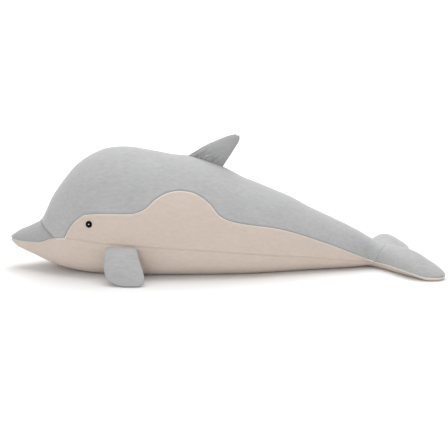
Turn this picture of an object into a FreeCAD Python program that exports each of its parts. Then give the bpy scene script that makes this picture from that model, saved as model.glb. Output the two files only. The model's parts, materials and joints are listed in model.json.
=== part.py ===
import FreeCAD, Part
import math
import os
import Sketcher
from FreeCAD import Placement, Rotation, Vector

# A stuffed fabric dolphin that lies on its belly, in millimetres.
# X runs from the beak (-) to the tail (+), Y across the body, Z up; the floor is z = 0.
# The dolphin looks towards -X, so its left side is at -Y.

doc = FreeCAD.newDocument("plush_dolphin")
sheet = doc.addObject("Spreadsheet::Sheet", "Sizes")

# Driving dimensions: alias, value, what it is.
SIZES = [
    ("skin", 1.5, "thickness of the short-pile fabric"),
    ("hinge_gap", 0.6, "clearance between two bodies at a bending seam"),
    ("reach", 500, "half size of a cutter that spans the whole object"),
    ("tail_hinge_x", 300, "where the tail bends against the torso"),
    ("tail_hinge_z", 22, "height of that bend"),
    ("tail_hinge_radius", 30, "radius of the torso's concave end"),
    ("eye_x", -233, "eye centre along the body"),
    ("eye_y", 104.4, "eye centre from the middle plane"),
    ("eye_z", 100, "eye centre above the floor"),
    ("eye_turn", 11, "how far the eye looks forward, degrees"),
    ("eye_tilt", 5, "how far the eye looks up, degrees"),
    ("eye_radius", 6, "dome of a 12 mm safety eye"),
    ("eye_height", 4.2, "how far the dome stands out"),
    ("shank_radius", 2, "ribbed shank behind the dome"),
    ("shank_length", 15, "length of the shank"),
    ("washer_radius", 7.5, "push-on washer that locks the shank"),
    ("washer_thickness", 1.4, "thickness of the washer"),
    ("washer_depth", 2.6, "outer face of the washer, inward from the dome's flat side"),
    ("fit", 0.1, "play round a small hard piece"),
    ("dorsal_x", -29, "middle of the dorsal fin's root"),
    ("dorsal_z", 202.5, "height of that root"),
    ("dorsal_slope", 18, "how far the root falls towards the tail, degrees"),
    ("dorsal_roll_radius", 9, "rounded foot of the dorsal fin"),
    ("dorsal_roll_up", 4, "axis of that foot above the root line"),
    ("dorsal_roll_start", -26, "front end of the foot"),
    ("dorsal_roll_length", 56, "length of the foot"),
    ("flipper_x", -176, "middle of a flipper's root"),
    ("flipper_y", 121, "flipper hinge from the middle plane"),
    ("flipper_z", 61, "flipper hinge above the floor"),
    ("flipper_splay", 28, "how far a flipper hangs outward, degrees"),
    ("flipper_yaw", 5, "how the root follows the side of the body, degrees"),
    ("flipper_roll_radius", 6, "rounded root of a flipper"),
    ("flipper_roll_start", -26, "front end of that root"),
    ("flipper_roll_length", 52, "length of that root"),
    ("fluke_slope", 12, "how far the flukes fall towards their trailing edge, degrees"),
    ("fluke_skin", 2.5, "the flukes' fabric with its seam allowance"),
    ("roundest", 116, "half of the body's greatest width"),
    ("belly_flatness", 1.2, "how much squarer the underside is than an ellipse"),
]

# Cross-sections of the torso: x, underside, back, half width, height of the widest place.
TORSO_COLUMNS = ("x", "under", "top", "half", "widest")
TORSO = [
    (-400, 53, 61, 4, 57),
    (-390, 42, 69, 17, 57),
    (-365, 29, 81, 37, 56),
    (-338, 19, 96, 55, 57),
    (-318, 12, 139, 70, 62),
    (-288, 4, 178, 87, 71),
    (-246, -2, 211, 102, 80),
    (-196, -4, 225, 111, 86),
    (-136, -5, 221, 116, 86),
    (-66, -5, 206, 114, 81),
    (14, -5, 181, 105, 72),
    (94, -4, 146, 87, 61),
    (174, -2, 109, 63, 49),
    (244, 0, 73, 42, 37),
    (300, 2, 50, 27, 27),
]

# Sections of the dorsal fin, parallel to its root: height, middle of the chord, half chord, half thickness.
FIN_COLUMNS = ("up", "back", "chord", "thick")
DORSAL = [
    (4, 3, 31, 9),
    (18, 10, 28, 12.5),
    (36, 21, 21.5, 10),
    (51, 32, 14, 6.5),
    (60, 40, 6.5, 3),
]

# Sections of a flipper, parallel to its root: distance below the root, then as the dorsal fin.
FLIPPER = [
    (0, 0, 27, 6),
    (14, 1, 28, 9.5),
    (34, 4, 31.5, 10.5),
    (52, 7, 33.5, 8.5),
    (63, 7, 27, 5),
    (67, 7, 17, 2.5),
]

# Sections of one fluke across the tail: y, front edge, back edge, middle height, half height.
FLUKE_COLUMNS = ("y", "front", "rear", "middle", "half")
FLUKE = [
    (0, 262, 350, 20, 28),
    (22, 272, 358, 20, 28.5),
    (46, 293, 376, 20, 28),
    (72, 309, 391, 19, 26),
    (96, 323, 401, 16, 20),
    (112, 341, 390, 11, 13),
    (119, 357, 377, 8, 7),
]

# Seam lines seen from the side (x, z). Each is one smooth curve through its points.
WAVE_SEAM = [
    (-282, 70), (-262, 103), (-230, 118), (-160, 118), (-118, 141), (-76, 158),
    (-34, 145), (0, 111), (45, 100), (101, 87), (190, 56), (252, 29), (320, -2),
]
SIDE_SEAM = [(-420, 57), (-377, 55), (-338, 58), (-305, 69), (-275, 72), (-214, 66), (-40, 54), (140, 33), (330, 4)]
BEAK_SEAM = [(-346, 120), (-338, 98), (-318, 82), (-298, 66), (-288, 40)]
FLUKE_SEAM = [(240, 12), (300, 14), (350, 8), (420, 4)]

# Each seam line is closed into a region round the cloth on one side of it.
UNDER_FLOOR = -60
BEAK_REGION_FRONT = -420
BEAK_REGION_FOOT = 40

# Points along a half section of the torso, from its underside to its back.
SECTION_STEPS = 12


def fill_sheet(columns_by_table):
    """Writes every driving dimension into the sheet, one row each, under its alias."""
    rows = [(alias, value) for alias, value, note in SIZES]
    for table, columns, lines in columns_by_table:
        for number, line in enumerate(lines, 1):
            rows += [(f"{table}_{number}_{column}", value) for column, value in zip(columns, line)]
    for number, (alias, value) in enumerate(rows, 1):
        sheet.set(f"A{number}", alias)
        sheet.set(f"B{number}", str(value))
        sheet.setAlias(f"B{number}", alias)
    doc.recompute()


fill_sheet([
    ("torso", TORSO_COLUMNS, TORSO),
    ("dorsal", FIN_COLUMNS, DORSAL),
    ("flipper", FIN_COLUMNS, FLIPPER),
    ("fluke", FLUKE_COLUMNS, FLUKE),
])


def size(alias):
    return float(sheet.get(alias))


def bind(thing, **expressions):
    """Ties properties of an object to cells. A double underscore in a name stands for a dot."""
    for name, text in expressions.items():
        thing.setExpression(name.replace("__", "."), text)
    return thing


def box(name, x, y, z, length, width, height):
    """A box whose corner and sides are expressions over the sheet."""
    thing = doc.addObject("Part::Box", name)
    return bind(thing, Placement__Base__x=x, Placement__Base__y=y, Placement__Base__z=z,
                Length=length, Width=width, Height=height)


def combine(kind, name, base, tool):
    """A Part::Cut, Part::Common or Part::Fuse of two objects."""
    thing = doc.addObject("Part::" + kind, name)
    thing.Base = base
    thing.Tool = tool
    return thing


def join(name, things):
    thing = doc.addObject("Part::MultiFuse", name)
    thing.Shapes = things
    return thing


def loft(name, sections):
    thing = doc.addObject("Part::Loft", name)
    thing.Sections = sections
    thing.Solid = True
    thing.Ruled = False
    return thing


# ---- cutters shared by several pieces ----

left_half = box("left_half", "-Sizes.reach", "-Sizes.reach", "-Sizes.reach",
                "2 * Sizes.reach", "Sizes.reach", "2 * Sizes.reach")
right_half = box("right_half", "-Sizes.reach", "0", "-Sizes.reach",
                 "2 * Sizes.reach", "Sizes.reach", "2 * Sizes.reach")
above_floor = box("above_floor", "-Sizes.reach", "-Sizes.reach", "0",
                  "2 * Sizes.reach", "2 * Sizes.reach", "Sizes.reach")
above_lining = box("above_lining", "-Sizes.reach", "-Sizes.reach", "Sizes.skin",
                   "2 * Sizes.reach", "2 * Sizes.reach", "Sizes.reach")


def cross_cylinder(name, radius):
    """A cylinder along Y about the tail's hinge."""
    thing = doc.addObject("Part::Cylinder", name)
    thing.Placement = Placement(Vector(0, 0, 0), Rotation(Vector(1, 0, 0), 90))
    return bind(thing, Radius=radius, Height="2 * Sizes.reach", Placement__Base__x="Sizes.tail_hinge_x",
                Placement__Base__y="Sizes.reach", Placement__Base__z="Sizes.tail_hinge_z")


def side_region(name, seam, closing):
    """What lies on one side of a seam line, cut straight across the body."""
    curve = Part.BSplineCurve()
    curve.interpolate([Vector(x, -size("reach"), z) for x, z in seam])
    corners = [Vector(x, -size("reach"), z) for x, z in [seam[-1]] + closing + [seam[0]]]
    edges = [curve.toShape()] + [Part.makeLine(a, b) for a, b in zip(corners, corners[1:])]
    thing = doc.addObject("Part::Feature", name)
    thing.Shape = Part.Face(Part.Wire(edges)).extrude(Vector(0, 2 * size("reach"), 0))
    return thing


def region_below(name, seam):
    """What lies under a seam line."""
    return side_region(name, seam, [(seam[-1][0], UNDER_FLOOR), (seam[0][0], UNDER_FLOOR)])


below_side_seam = region_below("below_side_seam", SIDE_SEAM)
below_wave_seam = region_below("below_wave_seam", WAVE_SEAM)
below_fluke_seam = region_below("below_fluke_seam", FLUKE_SEAM)
ahead_of_beak_seam = side_region("ahead_of_beak_seam", BEAK_SEAM,
                                 [(BEAK_REGION_FRONT, BEAK_REGION_FOOT), (BEAK_REGION_FRONT, BEAK_SEAM[0][1])])


# ---- torso: one skin round one filling, made for the right side and mirrored ----

def torso_section(name, number, inset):
    """Half of a section of the torso, closed along the middle plane: round above its widest
    line, squarer below it."""
    x, under, top, half, widest = [size(f"torso_{number}_{column}") for column in TORSO_COLUMNS]
    squareness = 2 + size("belly_flatness") * half / size("roundest")
    if number == 1:
        x += inset
    points = []
    for step in range(SECTION_STEPS + 1):
        angle = math.pi * (step / SECTION_STEPS - 0.5)
        across, rise = abs(math.cos(angle)), math.sin(angle)
        power = 2 / (2 if rise >= 0 else squareness)
        height = (top - inset - widest) if rise >= 0 else (widest - under - inset)
        y = (half - inset) * across ** power if 0 < step < SECTION_STEPS else 0
        points.append(Vector(x, y, widest + height * math.copysign(abs(rise) ** power, rise)))
    curve = Part.BSplineCurve()
    curve.interpolate(points)
    thing = doc.addObject("Part::Feature", name)
    thing.Shape = Part.Wire([curve.toShape(), Part.makeLine(points[-1], points[0])])
    return thing


def torso_solid(name, inset, floor):
    """Half of the torso's volume, flat where it lies on the floor and hollowed for the tail's round front."""
    sections = [torso_section(f"{name}_section_{n}", n, inset) for n in range(1, len(TORSO) + 1)]
    full = loft(name + "_full", sections)
    grounded = combine("Common", name + "_grounded", full, floor)
    return combine("Cut", name, grounded, cross_cylinder(name + "_end", "Sizes.tail_hinge_radius"))


def mirrored(name, thing):
    """The same piece on the other side of the middle plane."""
    twin = doc.addObject("Part::Mirroring", name)
    twin.Source = thing
    twin.Normal = Vector(0, 1, 0)
    return twin


torso_outer = torso_solid("torso_outer", 0, above_floor)
torso_inner = torso_solid("torso_inner", size("skin"), above_lining)
torso_skin = combine("Cut", "torso_skin", torso_outer, torso_inner)

belly_skin = combine("Common", "belly_skin", torso_skin, below_side_seam)
upper_skin = combine("Cut", "upper_skin", torso_skin, below_side_seam)
side_skin = combine("Common", "side_skin", upper_skin, below_wave_seam)
top_skin = combine("Cut", "top_skin", upper_skin, below_wave_seam)
beak_skin = combine("Common", "beak_skin", top_skin, ahead_of_beak_seam)
back_skin = combine("Cut", "back_skin", top_skin, ahead_of_beak_seam)

SIDES = [("left", -1, left_half), ("right", 1, right_half)]


# ---- eyes: a domed safety eye and its washer on each side ----

def eye_placement(side, depth):
    """Local +Z points out of the head at the eye; depth is measured inward."""
    turn = Rotation(Vector(0, 0, 1), side * size("eye_turn"))
    tilt = Rotation(Vector(1, 0, 0), -side * (90 - size("eye_tilt")))
    outward = turn.multiply(tilt)
    centre = Vector(size("eye_x"), side * size("eye_y"), size("eye_z"))
    return Placement(centre - outward.multVec(Vector(0, 0, depth)), outward)


def origin_plane(body, role):
    return next(plane for plane in body.Origin.OriginFeatures if plane.Role == role)


def attached_sketch(body, name, role):
    sketch = body.newObject("Sketcher::SketchObject", name)
    sketch.AttachmentSupport = [(origin_plane(body, role), "")]
    sketch.MapMode = "FlatFace"
    return sketch


def make_eye(name, side):
    """A black dome on a straight shank, turned in one piece."""
    body = doc.addObject("PartDesign::Body", name)
    sketch = attached_sketch(body, name + "_profile", "XZ_Plane")
    radius, height = size("eye_radius"), size("eye_height")
    shank, length = size("shank_radius"), size("shank_length")
    corners = [Vector(0, height, 0), Vector(0, -length, 0), Vector(shank, -length, 0),
               Vector(shank, 0, 0), Vector(radius, 0, 0)]
    for a, b in zip(corners, corners[1:]):
        sketch.addGeometry(Part.LineSegment(a, b))
    bulge = (radius ** 2 + height ** 2) / (2 * height)
    half_angle = math.asin(radius / bulge) / 2
    middle = Vector(bulge * math.sin(half_angle), height - bulge * (1 - math.cos(half_angle)), 0)
    arc = sketch.addGeometry(Part.Arc(corners[4], middle, corners[0]))
    for line in range(3):
        sketch.addConstraint(Sketcher.Constraint("Coincident", line, 2, line + 1, 1))
    sketch.addConstraint(Sketcher.Constraint("PointOnObject", 0, 1, -2))
    sketch.addConstraint(Sketcher.Constraint("PointOnObject", 0, 2, -2))
    sketch.addConstraint(Sketcher.Constraint("Horizontal", 1))
    sketch.addConstraint(Sketcher.Constraint("Vertical", 2))
    sketch.addConstraint(Sketcher.Constraint("PointOnObject", 3, 1, -1))
    sketch.addConstraint(Sketcher.Constraint("PointOnObject", 3, 2, -1))
    sketch.addConstraint(Sketcher.Constraint("Coincident", 3, 2, arc, 1))
    sketch.addConstraint(Sketcher.Constraint("Coincident", arc, 2, 0, 1))
    named = [("shank", "DistanceX", 1, 1, 1, 2, "shank_radius"),
             ("length", "DistanceY", 2, 1, 2, 2, "shank_length"),
             ("dome", "DistanceX", -1, 1, 3, 2, "eye_radius"),
             ("rise", "DistanceY", -1, 1, 0, 1, "eye_height")]
    for label, kind, g1, p1, g2, p2, alias in named:
        index = sketch.addConstraint(Sketcher.Constraint(kind, g1, p1, g2, p2, size(alias)))
        sketch.renameConstraint(index, label)
        sketch.setExpression("Constraints." + label, "Sizes." + alias)
    turned = body.newObject("PartDesign::Revolution", name + "_turned")
    turned.Profile = sketch
    turned.ReferenceAxis = (sketch, ["V_Axis"])
    turned.Angle = 360
    body.Placement = eye_placement(side, 0)
    return body


def make_washer(name, side):
    """A flat ring pushed over the shank, inside the fabric."""
    body = doc.addObject("PartDesign::Body", name)
    sketch = attached_sketch(body, name + "_ring", "XY_Plane")
    rims = [("rim", "washer_radius", 0), ("bore", "shank_radius", size("fit"))]
    for number, (label, alias, play) in enumerate(rims):
        circle = Part.Circle(Vector(0, 0, 0), Vector(0, 0, 1), size(alias) + play)
        sketch.addGeometry(circle)
        sketch.addConstraint(Sketcher.Constraint("Coincident", number, 3, -1, 1))
        index = sketch.addConstraint(Sketcher.Constraint("Radius", number, size(alias) + play))
        sketch.renameConstraint(index, label)
    sketch.setExpression("Constraints.rim", "Sizes.washer_radius")
    sketch.setExpression("Constraints.bore", "Sizes.shank_radius + Sizes.fit")
    pad = body.newObject("PartDesign::Pad", name + "_pad")
    pad.Profile = sketch
    pad.setExpression("Length", "Sizes.washer_thickness")
    body.Placement = eye_placement(side, size("washer_depth") + size("washer_thickness"))
    return body


def eye_room(name, side):
    """The space that a shank and its washer take in the fabric and the filling."""
    hole = doc.addObject("Part::Cylinder", name + "_hole")
    bind(hole, Radius="Sizes.shank_radius + Sizes.fit", Height="Sizes.shank_length + 5 * Sizes.fit")
    hole.Placement = eye_placement(side, size("shank_length") + 4 * size("fit"))
    seat = doc.addObject("Part::Cylinder", name + "_seat")
    bind(seat, Radius="Sizes.washer_radius + Sizes.fit", Height="Sizes.washer_depth + Sizes.washer_thickness")
    seat.Placement = eye_placement(side, size("washer_depth") + size("washer_thickness") + size("fit"))
    return hole, seat


hole, seat = eye_room("eye_room", 1)
side_piece = combine("Cut", "side_piece", side_skin, hole)
filling_half = combine("Cut", "filling_half", torso_inner, join("eye_spaces", [hole, seat]))
parts = {
    "belly_panel": join("belly_panel", [belly_skin, mirrored("belly_skin_left", belly_skin)]),
    "body_filling": join("body_filling", [filling_half, mirrored("filling_half_left", filling_half)]),
}
for piece, skin in (("back_panel", back_skin), ("beak_panel", beak_skin), ("side_panel", side_piece)):
    parts[piece + "_right"] = skin
    parts[piece + "_left"] = mirrored(piece + "_left", skin)
for side_name, side, half in SIDES:
    parts["eye_" + side_name] = make_eye("eye_" + side_name, side)
    parts["eye_washer_" + side_name] = make_washer("eye_washer_" + side_name, side)


# ---- fins: two fabric sides and a filling on a rounded root that rolls in its bending seam ----

def ellipse(name, table, number, inset):
    """One section of a fin, chord along X and thickness along Y, at its height along Z."""
    row = f"Sizes.{table}_{number}_"
    thing = doc.addObject("Part::Ellipse", name)
    return bind(thing, MajorRadius=f"{row}chord - {inset}", MinorRadius=f"{row}thick - {inset}",
                Placement__Base__x=f"{row}back", Placement__Base__z=f"{row}up")


def fin_solid(name, table, count, inset, roll_up):
    """A lofted fin with a round bar along its root."""
    sections = [ellipse(f"{name}_section_{n}", table, n, inset) for n in range(1, count + 1)]
    roll = doc.addObject("Part::Cylinder", name + "_roll")
    roll.Placement = Placement(Vector(0, 0, 0), Rotation(Vector(0, 1, 0), 90))
    bind(roll, Radius=f"Sizes.{table}_roll_radius - {inset}", Height=f"Sizes.{table}_roll_length - 2 * {inset}",
         Placement__Base__x=f"Sizes.{table}_roll_start + {inset}", Placement__Base__z=roll_up)
    return join(name, [loft(name + "_blade", sections), roll])


def make_fin(name, table, count, roll_up, placement, side_names):
    """The two sides and the filling of one fin. The first side name is the one at local -Y."""
    outer = fin_solid(name + "_outer", table, count, "0", roll_up)
    inner = fin_solid(name + "_inner", table, count, "Sizes.skin", roll_up)
    skin = combine("Cut", name + "_skin", outer, inner)
    for label, half in zip(side_names, (left_half, right_half)):
        parts[f"{name}_{label}"] = combine("Common", f"{name}_{label}", skin, half)
        parts[f"{name}_{label}"].Placement = placement
    filling = doc.addObject("Part::Feature", name + "_filling")
    doc.recompute()
    filling.Shape = inner.Shape.copy()
    filling.Placement = placement
    parts[name + "_filling"] = filling


dorsal_place = Placement(Vector(size("dorsal_x"), 0, size("dorsal_z")),
                         Rotation(Vector(0, 1, 0), size("dorsal_slope")))
make_fin("dorsal_fin", "dorsal", len(DORSAL), "Sizes.dorsal_roll_up", dorsal_place, ("left_panel", "right_panel"))

for side_name, side, half in SIDES:
    yaw = Rotation(Vector(0, 0, 1), side * size("flipper_yaw"))
    hang = Rotation(Vector(1, 0, 0), -side * (180 - size("flipper_splay")))
    place = Placement(Vector(size("flipper_x"), side * size("flipper_y"), size("flipper_z")), yaw.multiply(hang))
    faces = ("inner_panel", "outer_panel") if side < 0 else ("outer_panel", "inner_panel")
    make_fin("flipper_" + side_name, "flipper", len(FLIPPER), "0", place, faces)


# ---- flukes: both lobes in one, on a round front that rolls in the torso's end ----

def fluke_section(name, number, side, inset):
    """One section of the flukes, upright and square to Y. Its ends meet at its front edge."""
    row = f"Sizes.fluke_{number}_"
    thing = doc.addObject("Part::Ellipse", name)
    turned = Rotation(Vector(1, 0, 0), 90).multiply(Rotation(Vector(0, 0, 1), 180))
    upright = Rotation(Vector(0, 1, 0), size("fluke_slope")).multiply(turned)
    end_inset = inset if number == len(FLUKE) else "0"
    thing.Placement = Placement(Vector(0, 0, 0), upright)
    return bind(thing, MajorRadius=f"({row}rear - {row}front) / 2 - {inset}", MinorRadius=f"{row}half - {inset}",
                Placement__Base__x=f"({row}rear + {row}front) / 2", Placement__Base__z=f"{row}middle",
                Placement__Base__y=f"{side} * ({row}y - {end_inset})")


def fluke_solid(name, inset, floor):
    """Both lobes, flat on the floor, with the front end rounded about the tail's hinge."""
    sides = [(n, -1) for n in range(len(FLUKE), 1, -1)] + [(n, 1) for n in range(1, len(FLUKE) + 1)]
    sections = [fluke_section(f"{name}_section_{i}", n, side, inset) for i, (n, side) in enumerate(sides)]
    grounded = combine("Common", name + "_grounded", loft(name + "_full", sections), floor)
    round_front = cross_cylinder(name + "_front", f"Sizes.tail_hinge_radius - Sizes.hinge_gap - {inset}")
    behind = box(name + "_behind", "Sizes.tail_hinge_x", "-Sizes.reach", "-Sizes.reach",
                 "Sizes.reach", "2 * Sizes.reach", "2 * Sizes.reach")
    return combine("Common", name, grounded, combine("Fuse", name + "_keep", round_front, behind))


fluke_outer = fluke_solid("fluke_outer", "0", above_floor)
fluke_inner = fluke_solid("fluke_inner", "Sizes.fluke_skin", above_lining)
fluke_skin = combine("Cut", "fluke_skin", fluke_outer, fluke_inner)
parts["fluke_bottom_panel"] = combine("Common", "fluke_bottom_panel", fluke_skin, below_fluke_seam)
fluke_top = combine("Cut", "fluke_top", fluke_skin, below_fluke_seam)
for side_name, side, half in SIDES:
    parts["fluke_top_panel_" + side_name] = combine("Common", "fluke_top_panel_" + side_name, fluke_top, half)
parts["fluke_filling"] = fluke_inner
doc.recompute()

# ---- check and write every piece ----

failed = [thing.Name for thing in doc.Objects if "Invalid" in thing.State or "Error" in thing.State]
if failed:
    raise RuntimeError(f"these objects failed: {failed}")
os.makedirs("parts", exist_ok=True)
for node, thing in parts.items():
    thing.Label = node
    shape = thing.Shape
    if shape.isNull() or not shape.isValid() or not shape.Solids:
        raise RuntimeError(f"{node} has no valid solid")
    shape.exportStep(f"parts/{node}.step")
    print(f"{node}: {len(shape.Solids)} solid, {shape.Volume / 1000:.1f} cm3")
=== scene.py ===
import json
import math

import bmesh
import bpy
import numpy as np
from mathutils import Matrix, Vector, noise
from mathutils.kdtree import KDTree


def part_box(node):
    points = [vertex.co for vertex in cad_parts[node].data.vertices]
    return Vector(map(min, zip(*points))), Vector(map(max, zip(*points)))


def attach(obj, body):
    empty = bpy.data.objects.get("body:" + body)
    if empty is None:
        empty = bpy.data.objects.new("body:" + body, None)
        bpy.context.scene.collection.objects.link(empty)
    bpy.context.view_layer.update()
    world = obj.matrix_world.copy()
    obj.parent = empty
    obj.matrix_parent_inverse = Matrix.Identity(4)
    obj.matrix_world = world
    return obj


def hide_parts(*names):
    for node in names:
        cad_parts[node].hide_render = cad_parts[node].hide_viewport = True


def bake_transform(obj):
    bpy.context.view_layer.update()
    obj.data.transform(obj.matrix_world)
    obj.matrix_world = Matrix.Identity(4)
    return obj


# A stuffed fabric dolphin lying on its belly. X runs from the beak to the tail, Y across, Z up, in metres.

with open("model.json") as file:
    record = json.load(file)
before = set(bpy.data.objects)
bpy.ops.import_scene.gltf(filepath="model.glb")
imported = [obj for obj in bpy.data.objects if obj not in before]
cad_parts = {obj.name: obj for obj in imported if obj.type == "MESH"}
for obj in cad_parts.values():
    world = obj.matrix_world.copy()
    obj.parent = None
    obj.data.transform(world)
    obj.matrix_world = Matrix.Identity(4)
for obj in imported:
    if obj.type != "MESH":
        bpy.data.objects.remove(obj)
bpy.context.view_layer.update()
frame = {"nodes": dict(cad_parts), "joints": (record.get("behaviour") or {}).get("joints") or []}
MM = 0.001

JOINTS = {joint["name"]: joint for joint in frame["joints"]}
TAIL_HINGE = Vector(JOINTS["tail_bend"]["pos_m"])
DORSAL_HINGE = Vector(JOINTS["dorsal_fin_bend"]["pos_m"])
SIDES = (("left", -1), ("right", 1))

# Seam lines seen from the side, much as in the CAD model, in millimetres.
# The wave between the back and the flanks: (x, z).
WAVE_SEAM = [
    (-283, 68), (-271, 90), (-257, 106), (-240, 116), (-213, 118.5), (-160, 119), (-139, 125),
    (-113, 146), (-93, 155.5), (-76, 158), (-56, 155.5), (-39, 148), (-21, 134), (-4, 114),
    (14, 105), (101, 87), (190, 56), (252, 29), (320, -2),
]
# The mouth, and then the seam between the flanks and the belly: (x, z).
SIDE_SEAM = [
    (-420, 57), (-377, 55), (-338, 58), (-305, 69), (-275, 72), (-214, 66), (-40, 54), (140, 33),
    (330, 4),
]
# Between the beak and the forehead: (z, x). It ends below BEAK_TOP.
BEAK_SEAM = [(40, -288), (66, -298), (82, -318), (98, -338), (120, -346)]
BEAK_TOP = 120 * MM
# Round the flukes' edge: (x, z).
FLUKE_SEAM = [(240, 12), (300, 14), (350, 8), (420, 4)]
# The outline of the back from the beak's tip to the flukes: (x, z).
TOP_LINE = [
    (-402, 60.5), (-384, 71), (-353, 85), (-339, 98.5), (-333, 108), (-321, 133), (-305, 157),
    (-289, 177), (-273, 194), (-243, 214), (-213, 225), (-183, 227.5), (-138, 222), (-94, 214.5),
    (-60, 210.5), (-29, 202), (3, 190), (24, 179), (40, 171), (71, 159.5), (116, 140), (161, 118),
    (207, 95.5), (253, 72.5), (285, 55), (304, 45),
]
# The height at which the body is widest: (x, z).
WIDEST_LINE = [(-400, 57), (-300, 70), (-140, 86), (90, 61), (300, 20)]
# The seam between the torso and the flukes: where it crosses the back, and how far it leans forward.
RING_TOP = (304 * MM, 43 * MM)
RING_LEAN = 0.6

# Sections of the fins along their length, in millimetres: distance from the root, middle of the chord,
# half chord, half thickness, shift towards the body.
DORSAL_ROWS = [
    (-12, -6, 37.5, 3, 0), (-5, -2.5, 35.5, 4, 0), (2, 1, 33, 5.5, 0), (8, 4.6, 31, 8, 0),
    (16, 9, 28.5, 10.5, 0), (28, 16, 24.3, 11.5, 0), (41, 24.9, 18.9, 9.5, 0),
    (51, 32.5, 13.8, 7, 0), (56, 36, 10.4, 5.2, 0), (59.5, 38.4, 6.8, 3.6, 0),
    (61.6, 39, 2.5, 1.5, 0),
]
FLIPPER_ROWS = [
    (-7, 0, 26, 4, 19), (-3, 0.3, 26.7, 5, 10), (3, 1, 27.6, 7, 4), (16, 3, 30.4, 9.5, 0),
    (32, 6.2, 33, 10.5, 0), (46, 10, 34.3, 9.5, 0), (54, 12.6, 33.4, 7.8, 0),
    (59, 15, 30.8, 6.4, 0), (63.2, 17.8, 25.6, 4.8, 0), (66, 19.4, 19.4, 3.2, 0),
    (67.6, 20.2, 12, 1.6, 0), (68, 20.4, 6, 0.8, 0),
]

# The body's panels and the CAD nodes that they stand for.
BODY_PANELS = {
    "belly": "belly_panel",
    "flank_left": "side_panel_left", "flank_right": "side_panel_right",
    "back_left": "back_panel_left", "back_right": "back_panel_right",
    "beak_left": "beak_panel_left", "beak_right": "beak_panel_right",
    "fluke_top_left": "fluke_top_panel_left", "fluke_top_right": "fluke_top_panel_right",
    "fluke_underside": "fluke_bottom_panel",
}

# The eyes: how far they look forward and up, the dome's radius and height, the shank behind it with
# its ribs, and how far the rim sits in front of the washer.
EYE_TURN = math.radians(11)
EYE_TILT = math.radians(5)
EYE_RADIUS = 6 * MM
EYE_RISE = 4.2 * MM
SHANK_RADIUS = 2 * MM
SHANK_LENGTH = 15 * MM
SHANK_RIBS = 9
RIM_GAP = 3.3 * MM

# The cloth simulation's length, and the fibre fillings: grain of the mesh, and gap to the skin.
SIM_FRAMES = 20
BODY_VOXEL = 6 * MM
BODY_GAP = 4.5 * MM
FIN_VOXEL = 3 * MM
FIN_GAP = 2.2 * MM


# ---- small helpers ----

def spline(points):
    """A smooth curve through the points that doesn't overshoot them, as a function of their first number.
    It runs straight on beyond its ends."""
    x, y = np.array(points, float).T * MM
    h = np.diff(x)
    rise = np.diff(y) / h
    slope = np.concatenate([rise[:1], np.zeros(len(x) - 2), rise[-1:]])
    for i in range(1, len(x) - 1):
        if rise[i - 1] * rise[i] > 0:
            before = 2 * h[i] + h[i - 1]
            after = h[i] + 2 * h[i - 1]
            slope[i] = 3 * (h[i - 1] + h[i]) / (before / rise[i - 1] + after / rise[i])

    def value(t):
        t = np.asarray(t, float)
        i = np.clip(np.searchsorted(x, t) - 1, 0, len(x) - 2)
        u = (np.clip(t, x[0], x[-1]) - x[i]) / h[i]
        inside = (y[i] * (1 + 2 * u) * (1 - u) ** 2 + y[i + 1] * u ** 2 * (3 - 2 * u)
                  + h[i] * slope[i] * u * (1 - u) ** 2 - h[i] * slope[i + 1] * u ** 2 * (1 - u))
        return inside + slope[0] * np.minimum(t - x[0], 0) + slope[-1] * np.maximum(t - x[-1], 0)
    return value


wave_z = spline(WAVE_SEAM)
side_z = spline(SIDE_SEAM)
beak_x = spline(BEAK_SEAM)
fluke_z = spline(FLUKE_SEAM)
top_z = spline(TOP_LINE)


def smoothstep(low, high, value):
    """Rises smoothly from 0 at low to 1 at high."""
    t = np.clip((np.asarray(value, float) - low) / (high - low), 0, 1)
    return t * t * (3 - 2 * t)


def coords(mesh):
    co = np.empty(len(mesh.vertices) * 3, np.float32)
    mesh.vertices.foreach_get("co", co)
    return co.reshape(-1, 3).astype(float)


def set_coords(mesh, co):
    mesh.vertices.foreach_set("co", np.asarray(co, np.float32).ravel())
    mesh.update()


def normals(mesh):
    out = np.empty(len(mesh.vertices) * 3, np.float32)
    mesh.vertex_normals.foreach_get("vector", out)
    return out.reshape(-1, 3).astype(float)


def edges(mesh):
    out = np.empty(len(mesh.edges) * 2, np.int32)
    mesh.edges.foreach_get("vertices", out)
    return out.reshape(-1, 2)


def add_object(name, mesh):
    obj = bpy.data.objects.new(name, mesh)
    bpy.context.scene.collection.objects.link(obj)
    return obj


def discard(obj):
    mesh = obj.data
    bpy.data.objects.remove(obj)
    bpy.data.meshes.remove(mesh)


def evaluated_mesh(obj):
    """The object's mesh with its modifiers applied."""
    bpy.context.view_layer.update()
    shaped = obj.evaluated_get(bpy.context.evaluated_depsgraph_get())
    return bpy.data.meshes.new_from_object(shaped)


def apply_modifier(obj, kind, **settings):
    """Shapes the object's mesh with one modifier."""
    modifier = obj.modifiers.new(kind.title(), kind)
    for key, value in settings.items():
        setattr(modifier, key, value)
    shaped = evaluated_mesh(obj)
    obj.modifiers.clear()
    old = obj.data
    obj.data = shaped
    bpy.data.meshes.remove(old)


def neighbour_count(co, pairs):
    return np.maximum(np.bincount(pairs.ravel(), minlength=len(co))[:, None], 1)


def neighbour_middle(co, pairs, count):
    """The middle of each point's neighbours."""
    total = np.zeros_like(co)
    np.add.at(total, pairs[:, 0], co[pairs[:, 1]])
    np.add.at(total, pairs[:, 1], co[pairs[:, 0]])
    return total / count


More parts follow.
